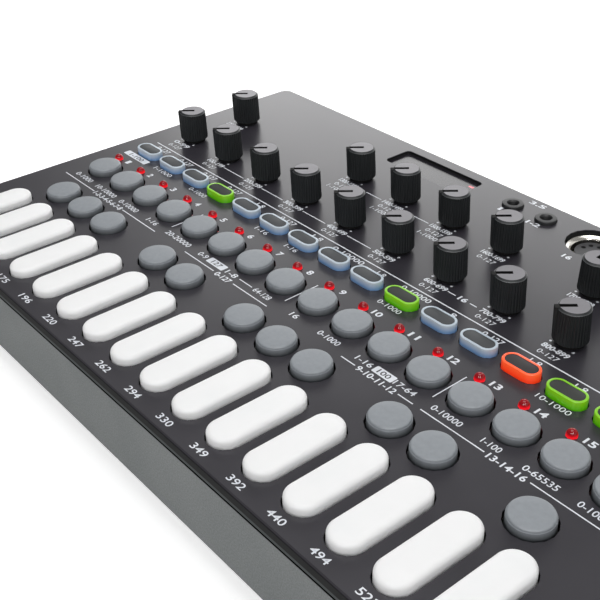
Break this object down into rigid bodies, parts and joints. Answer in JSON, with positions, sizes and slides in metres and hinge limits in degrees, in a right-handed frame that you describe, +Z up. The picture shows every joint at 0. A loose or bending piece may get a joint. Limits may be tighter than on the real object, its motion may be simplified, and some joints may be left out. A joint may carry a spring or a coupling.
{
  "type": "step synthesizer",
  "caption": "Tabletop music synthesizer in a flat box, with a small keyboard, step buttons, coloured function buttons, knobs, a display, sockets and a battery bay.",
  "frame": {"origin": "middle of the footprint, on the surface the feet stand on", "axes": "+X to the player's right along the long side, +Y away from the player, +Z up"},
  "size_m": [0.297, 0.176, 0.0485],
  "materials": {
    "panel_plastic": "satin charcoal moulding",
    "case_plastic": "mid grey, fine spark texture",
    "circuit_board": "green board lacquer",
    "keypad_silicone": "matt silicone",
    "white_silicone": "matt white silicone",
    "grey_silicone": "matt grey silicone",
    "clear_pill": "frosted blue-white, slightly see-through",
    "green_pill": "frosted green",
    "red_pill": "frosted orange-red",
    "red_lens": "clear red lens",
    "knob_plastic": "black, fluted sides and satin top",
    "pot_housing": "black",
    "smoked_window": "smoked, polished",
    "display_plastic": "black",
    "socket_plastic": "black",
    "socket_metal": "bright nickel",
    "insert_plastic": "dark grey",
    "inlet_plastic": "black",
    "switch_housing": "tinned steel",
    "slider_plastic": "black",
    "speaker_body": "black paint",
    "contact_metal": "nickel-plated spring steel",
    "foot_rubber": "matt black",
    "screw_steel": "blackened"
  },
  "bodies": {
    "case": {"top_panel": "panel_plastic", "bottom_case": "case_plastic", "main_board": "circuit_board", "socket_board": "circuit_board", "keypad_sheet": "keypad_silicone", "potentiometers": "pot_housing", "step_lamps": "red_lens", "display_window": "smoked_window", "display_module": "display_plastic", "jack_sockets": "socket_plastic", "midi_shells": "socket_metal", "midi_inserts": "insert_plastic", "power_inlet": "inlet_plastic", "power_switch_body": "switch_housing", "speaker": "speaker_body", "battery_contacts": "contact_metal", "rubber_feet": "foot_rubber", "case_screws": "screw_steel"},
    "white_key_1": {"white_key_1": "white_silicone"},
    "white_key_2": {"white_key_2": "white_silicone"},
    "white_key_3": {"white_key_3": "white_silicone"},
    "white_key_4": {"white_key_4": "white_silicone"},
    "white_key_5": {"white_key_5": "white_silicone"},
    "white_key_6": {"white_key_6": "white_silicone"},
    "white_key_7": {"white_key_7": "white_silicone"},
    "white_key_8": {"white_key_8": "white_silicone"},
    "white_key_9": {"white_key_9": "white_silicone"},
    "white_key_10": {"white_key_10": "white_silicone"},
    "white_key_11": {"white_key_11": "white_silicone"},
    "white_key_12": {"white_key_12": "white_silicone"},
    "white_key_13": {"white_key_13": "white_silicone"},
    "white_key_14": {"white_key_14": "white_silicone"},
    "white_key_15": {"white_key_15": "white_silicone"},
    "white_key_16": {"white_key_16": "white_silicone"},
    "grey_keys": {"grey_keys": "grey_silicone"},
    "step_buttons": {"step_buttons": "grey_silicone"},
    "transport_buttons": {"transport_buttons": "grey_silicone"},
    "pills_clear": {"pills_clear": "clear_pill"},
    "pills_green": {"pills_green": "green_pill"},
    "pills_red": {"pills_red": "red_pill"},
    "knob_front_1": {"knob_front_1": "knob_plastic"},
    "knob_front_2": {"knob_front_2": "knob_plastic"},
    "knob_front_3": {"knob_front_3": "knob_plastic"},
    "knob_front_4": {"knob_front_4": "knob_plastic"},
    "knob_front_5": {"knob_front_5": "knob_plastic"},
    "knob_front_6": {"knob_front_6": "knob_plastic"},
    "knob_front_7": {"knob_front_7": "knob_plastic"},
    "knob_front_8": {"knob_front_8": "knob_plastic"},
    "knob_front_9": {"knob_front_9": "knob_plastic"},
    "knob_front_10": {"knob_front_10": "knob_plastic"},
    "knob_front_11": {"knob_front_11": "knob_plastic"},
    "knob_front_12": {"knob_front_12": "knob_plastic"},
    "knob_back_1": {"knob_back_1": "knob_plastic"},
    "knob_back_2": {"knob_back_2": "knob_plastic"},
    "knob_back_3": {"knob_back_3": "knob_plastic"},
    "knob_back_4": {"knob_back_4": "knob_plastic"},
    "knob_back_5": {"knob_back_5": "knob_plastic"},
    "knob_back_6": {"knob_back_6": "knob_plastic"},
    "power_switch_slider": {"power_switch_slider": "slider_plastic"},
    "battery_door": {"battery_door": "case_plastic"}
  },
  "joints": [
    {"name": "white_key_1_press", "type": "slide", "parent": "case", "child": "white_key_1", "axis": [0, 0, -1], "range_m": [0, 0.0012], "stiffness_N_per_m": 300, "springref_m": -0.001},
    {"name": "white_key_2_press", "type": "slide", "parent": "case", "child": "white_key_2", "axis": [0, 0, -1], "range_m": [0, 0.0012], "stiffness_N_per_m": 300, "springref_m": -0.001},
    {"name": "white_key_3_press", "type": "slide", "parent": "case", "child": "white_key_3", "axis": [0, 0, -1], "range_m": [0, 0.0012], "stiffness_N_per_m": 300, "springref_m": -0.001},
    {"name": "white_key_4_press", "type": "slide", "parent": "case", "child": "white_key_4", "axis": [0, 0, -1], "range_m": [0, 0.0012], "stiffness_N_per_m": 300, "springref_m": -0.001},
    {"name": "white_key_5_press", "type": "slide", "parent": "case", "child": "white_key_5", "axis": [0, 0, -1], "range_m": [0, 0.0012], "stiffness_N_per_m": 300, "springref_m": -0.001},
    {"name": "white_key_6_press", "type": "slide", "parent": "case", "child": "white_key_6", "axis": [0, 0, -1], "range_m": [0, 0.0012], "stiffness_N_per_m": 300, "springref_m": -0.001},
    {"name": "white_key_7_press", "type": "slide", "parent": "case", "child": "white_key_7", "axis": [0, 0, -1], "range_m": [0, 0.0012], "stiffness_N_per_m": 300, "springref_m": -0.001},
    {"name": "white_key_8_press", "type": "slide", "parent": "case", "child": "white_key_8", "axis": [0, 0, -1], "range_m": [0, 0.0012], "stiffness_N_per_m": 300, "springref_m": -0.001},
    {"name": "white_key_9_press", "type": "slide", "parent": "case", "child": "white_key_9", "axis": [0, 0, -1], "range_m": [0, 0.0012], "stiffness_N_per_m": 300, "springref_m": -0.001},
    {"name": "white_key_10_press", "type": "slide", "parent": "case", "child": "white_key_10", "axis": [0, 0, -1], "range_m": [0, 0.0012], "stiffness_N_per_m": 300, "springref_m": -0.001},
    {"name": "white_key_11_press", "type": "slide", "parent": "case", "child": "white_key_11", "axis": [0, 0, -1], "range_m": [0, 0.0012], "stiffness_N_per_m": 300, "springref_m": -0.001},
    {"name": "white_key_12_press", "type": "slide", "parent": "case", "child": "white_key_12", "axis": [0, 0, -1], "range_m": [0, 0.0012], "stiffness_N_per_m": 300, "springref_m": -0.001},
    {"name": "white_key_13_press", "type": "slide", "parent": "case", "child": "white_key_13", "axis": [0, 0, -1], "range_m": [0, 0.0012], "stiffness_N_per_m": 300, "springref_m": -0.001},
    {"name": "white_key_14_press", "type": "slide", "parent": "case", "child": "white_key_14", "axis": [0, 0, -1], "range_m": [0, 0.0012], "stiffness_N_per_m": 300, "springref_m": -0.001},
    {"name": "white_key_15_press", "type": "slide", "parent": "case", "child": "white_key_15", "axis": [0, 0, -1], "range_m": [0, 0.0012], "stiffness_N_per_m": 300, "springref_m": -0.001},
    {"name": "white_key_16_press", "type": "slide", "parent": "case", "child": "white_key_16", "axis": [0, 0, -1], "range_m": [0, 0.0012], "stiffness_N_per_m": 300, "springref_m": -0.001},
    {"name": "grey_keys_press", "type": "slide", "parent": "case", "child": "grey_keys", "axis": [0, 0, -1], "range_m": [0, 0.0012], "stiffness_N_per_m": 2750, "springref_m": -0.001},
    {"name": "step_buttons_press", "type": "slide", "parent": "case", "child": "step_buttons", "axis": [0, 0, -1], "range_m": [0, 0.0012], "stiffness_N_per_m": 4000, "springref_m": -0.001},
    {"name": "transport_buttons_press", "type": "slide", "parent": "case", "child": "transport_buttons", "axis": [0, 0, -1], "range_m": [0, 0.0012], "stiffness_N_per_m": 750, "springref_m": -0.001},
    {"name": "pills_clear_press", "type": "slide", "parent": "case", "child": "pills_clear", "axis": [0, 0, -1], "range_m": [0, 0.0012], "stiffness_N_per_m": 2500, "springref_m": -0.001},
    {"name": "pills_green_press", "type": "slide", "parent": "case", "child": "pills_green", "axis": [0, 0, -1], "range_m": [0, 0.0012], "stiffness_N_per_m": 1250, "springref_m": -0.001},
    {"name": "pills_red_press", "type": "slide", "parent": "case", "child": "pills_red", "axis": [0, 0, -1], "range_m": [0, 0.0012], "stiffness_N_per_m": 250, "springref_m": -0.001},
    {"name": "knob_front_1_turn", "type": "hinge", "parent": "case", "child": "knob_front_1", "pos_m": [-0.1308, 0.02505, 0.0485], "axis": [0, 0, -1], "range_deg": [0, 278]},
    {"name": "knob_front_2_turn", "type": "hinge", "parent": "case", "child": "knob_front_2", "pos_m": [-0.1068, 0.02505, 0.0485], "axis": [0, 0, -1], "range_deg": [0, 278]},
    {"name": "knob_front_3_turn", "type": "hinge", "parent": "case", "child": "knob_front_3", "pos_m": [-0.0828, 0.02505, 0.0485], "axis": [0, 0, -1], "range_deg": [0, 278]},
    {"name": "knob_front_4_turn", "type": "hinge", "parent": "case", "child": "knob_front_4", "pos_m": [-0.0588, 0.02505, 0.0485], "axis": [0, 0, -1], "range_deg": [0, 278]},
    {"name": "knob_front_5_turn", "type": "hinge", "parent": "case", "child": "knob_front_5", "pos_m": [-0.0348, 0.02505, 0.0485], "axis": [0, 0, -1], "range_deg": [0, 278]},
    {"name": "knob_front_6_turn", "type": "hinge", "parent": "case", "child": "knob_front_6", "pos_m": [-0.0108, 0.02505, 0.0485], "axis": [0, 0, -1], "range_deg": [0, 278]},
    {"name": "knob_front_7_turn", "type": "hinge", "parent": "case", "child": "knob_front_7", "pos_m": [0.0132, 0.02505, 0.0485], "axis": [0, 0, -1], "range_deg": [0, 278]},
    {"name": "knob_front_8_turn", "type": "hinge", "parent": "case", "child": "knob_front_8", "pos_m": [0.0372, 0.02505, 0.0485], "axis": [0, 0, -1], "range_deg": [0, 278]},
    {"name": "knob_front_9_turn", "type": "hinge", "parent": "case", "child": "knob_front_9", "pos_m": [0.0612, 0.02505, 0.0485], "axis": [0, 0, -1], "range_deg": [0, 278]},
    {"name": "knob_front_10_turn", "type": "hinge", "parent": "case", "child": "knob_front_10", "pos_m": [0.0852, 0.02505, 0.0485], "axis": [0, 0, -1], "range_deg": [0, 278]},
    {"name": "knob_front_11_turn", "type": "hinge", "parent": "case", "child": "knob_front_11", "pos_m": [0.1092, 0.02505, 0.0485], "axis": [0, 0, -1], "range_deg": [0, 278]},
    {"name": "knob_front_12_turn", "type": "hinge", "parent": "case", "child": "knob_front_12", "pos_m": [0.1332, 0.02505, 0.0485], "axis": [0, 0, -1], "range_deg": [0, 278]},
    {"name": "knob_back_1_turn", "type": "hinge", "parent": "case", "child": "knob_back_1", "pos_m": [-0.1308, 0.05205, 0.0485], "axis": [0, 0, -1], "range_deg": [0, 278]},
    {"name": "knob_back_2_turn", "type": "hinge", "parent": "case", "child": "knob_back_2", "pos_m": [-0.0588, 0.05205, 0.0485], "axis": [0, 0, -1], "range_deg": [0, 278]},
    {"name": "knob_back_3_turn", "type": "hinge", "parent": "case", "child": "knob_back_3", "pos_m": [-0.0348, 0.05205, 0.0485], "axis": [0, 0, -1], "range_deg": [0, 278]},
    {"name": "knob_back_4_turn", "type": "hinge", "parent": "case", "child": "knob_back_4", "pos_m": [-0.0108, 0.05205, 0.0485], "axis": [0, 0, -1], "range_deg": [0, 278]},
    {"name": "knob_back_5_turn", "type": "hinge", "parent": "case", "child": "knob_back_5", "pos_m": [0.0132, 0.05205, 0.0485], "axis": [0, 0, -1], "range_deg": [0, 278]},
    {"name": "knob_back_6_turn", "type": "hinge", "parent": "case", "child": "knob_back_6", "pos_m": [0.0492, 0.05205, 0.0485], "axis": [0, 0, -1], "range_deg": [-139, 139]},
    {"name": "power_switch_slide", "type": "slide", "parent": "case", "child": "power_switch_slider", "axis": [1, 0, 0], "range_m": [0, 0.0035]},
    {"name": "battery_door_swing", "type": "hinge", "parent": "case", "child": "battery_door", "pos_m": [0, 0.01085, 0.0045], "axis": [1, 0, 0], "range_deg": [0, 95]}
  ]
}
